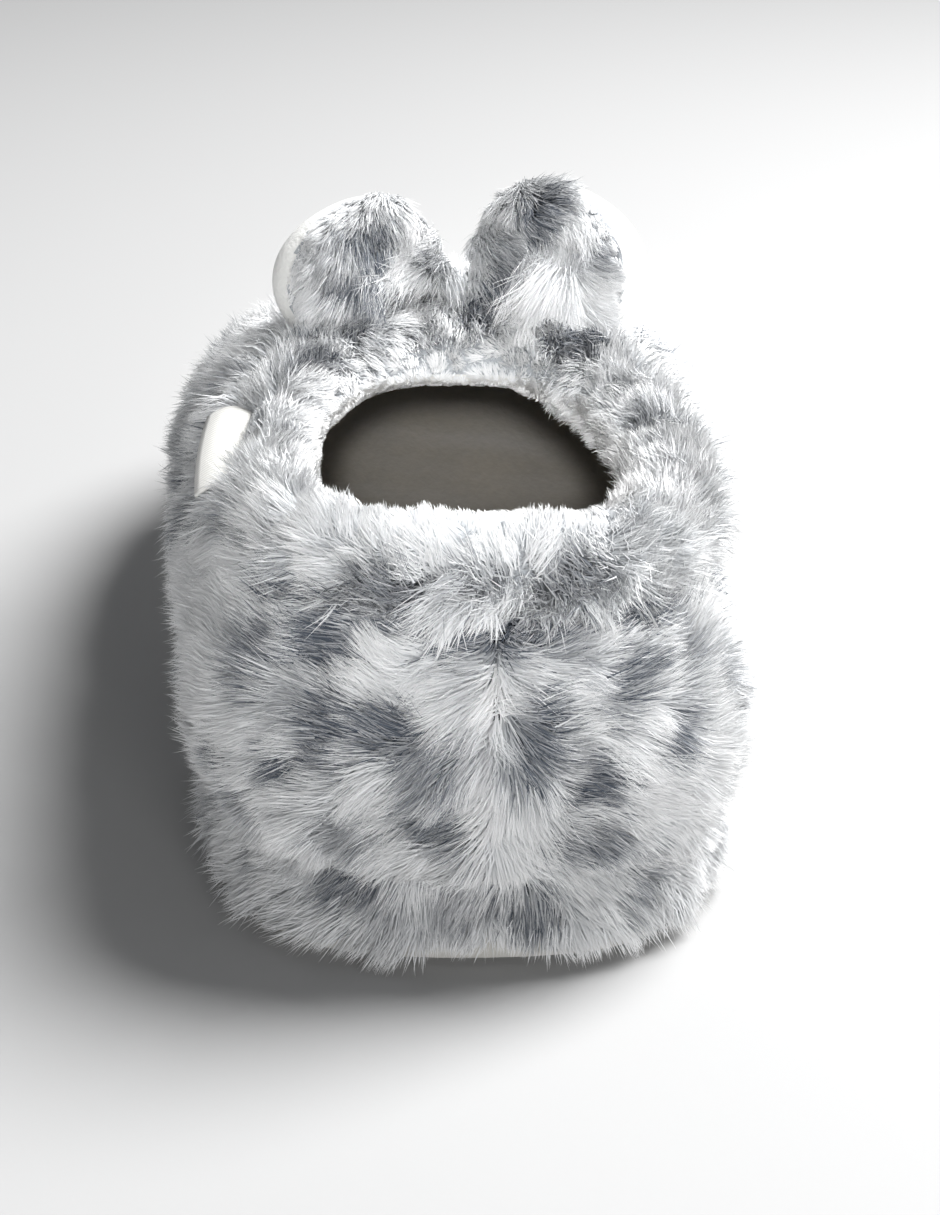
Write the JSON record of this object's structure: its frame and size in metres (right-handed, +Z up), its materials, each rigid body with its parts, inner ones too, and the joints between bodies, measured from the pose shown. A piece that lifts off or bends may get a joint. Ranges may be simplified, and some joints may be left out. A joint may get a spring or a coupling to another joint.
{
  "type": "house slipper",
  "caption": "Left closed-heel house slipper of spotted long-pile plush, with a padded collar, stuffed round ears and a moulded sole.",
  "frame": {"origin": "on the floor, under the middle of the slipper's bounding box", "axes": "+Z up, +Y along the foot towards the toe, +X towards the inner side of the left foot"},
  "size_m": [0.135, 0.2748, 0.1189],
  "materials": {
    "outsole": "matt moulded thermoplastic rubber",
    "plush": "long-pile plush, white with blue-grey spots",
    "footbed": "brushed short-pile cloth, taupe",
    "satin": "bare woven satin"
  },
  "bodies": {
    "root": {"outsole": "outsole", "platform": "plush", "upper": "plush", "collar_cuff": "plush", "insole": "footbed", "ear_left": "plush", "ear_right": "plush", "side_tab": "satin"}
  },
  "joints": []
}
